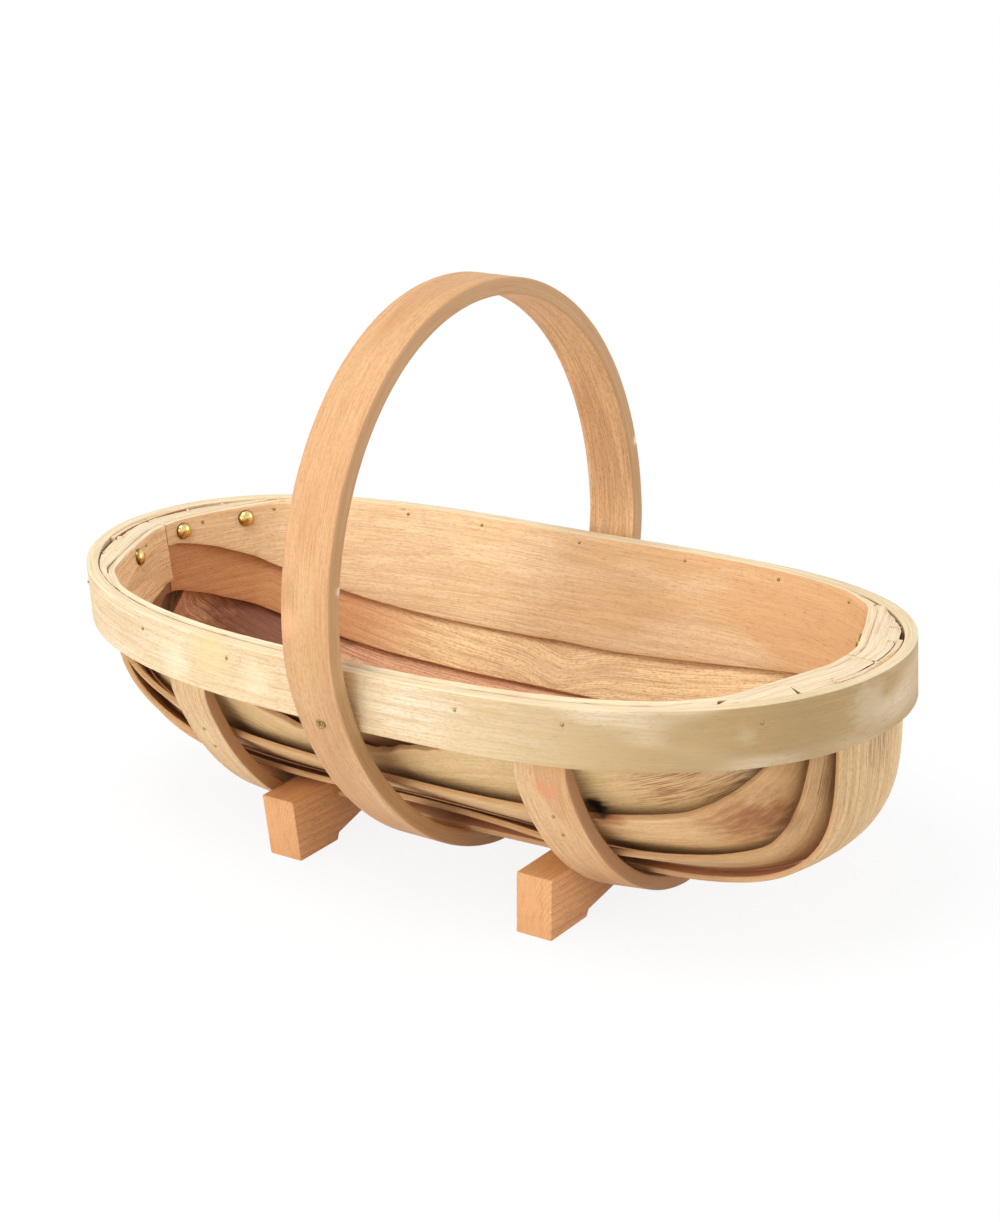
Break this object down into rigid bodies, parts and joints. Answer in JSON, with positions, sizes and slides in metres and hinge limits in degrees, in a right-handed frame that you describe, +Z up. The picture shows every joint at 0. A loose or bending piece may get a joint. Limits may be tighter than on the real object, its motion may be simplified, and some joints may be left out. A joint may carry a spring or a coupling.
{
  "type": "trug garden basket",
  "caption": "Shallow oval wooden trug with lapped thin boards in a bentwood rim, a tall bentwood hoop handle, two bent straps, wedge feet and domed brass nails.",
  "frame": {"origin": "on the ground, under the middle of the basket", "axes": "X along the basket's length, Y across its width, Z up"},
  "size_m": [0.555, 0.3052, 0.349],
  "materials": {
    "rim_ash": "bare bent ash strip, sanded, a little weathered",
    "handle_ash": "bare bent ash strip, sanded, worn by the hand",
    "strap_wood": "bare split wood, rough planed",
    "board_willow": "bare sawn willow board, slightly torn grain",
    "board_reddish": "bare sawn willow board, reddish heartwood",
    "foot_wood": "bare sawn block, end grain showing",
    "dome_brass": "stamped, polished and slightly tarnished",
    "pin_metal": "drawn wire, dull and tarnished",
    "screw_brass": "turned, dull"
  },
  "bodies": {
    "root": {"rim_hoop": "rim_ash", "handle_hoop": "handle_ash", "strap_left": "strap_wood", "strap_right": "strap_wood", "centre_board": "board_willow", "fourth_board_front": "board_willow", "fourth_board_back": "board_willow", "third_board_front": "board_willow", "third_board_back": "board_reddish", "second_board_front": "board_willow", "second_board_back": "board_willow", "side_board_front": "board_willow", "side_board_back": "board_willow", "foot_front_left": "foot_wood", "foot_front_right": "foot_wood", "foot_back_left": "foot_wood", "foot_back_right": "foot_wood", "dome_nails_left": "dome_brass", "dome_nails_right": "dome_brass", "rim_pins_front": "pin_metal", "rim_pins_back": "pin_metal", "strap_pins": "pin_metal", "handle_screws": "screw_brass"}
  },
  "joints": []
}
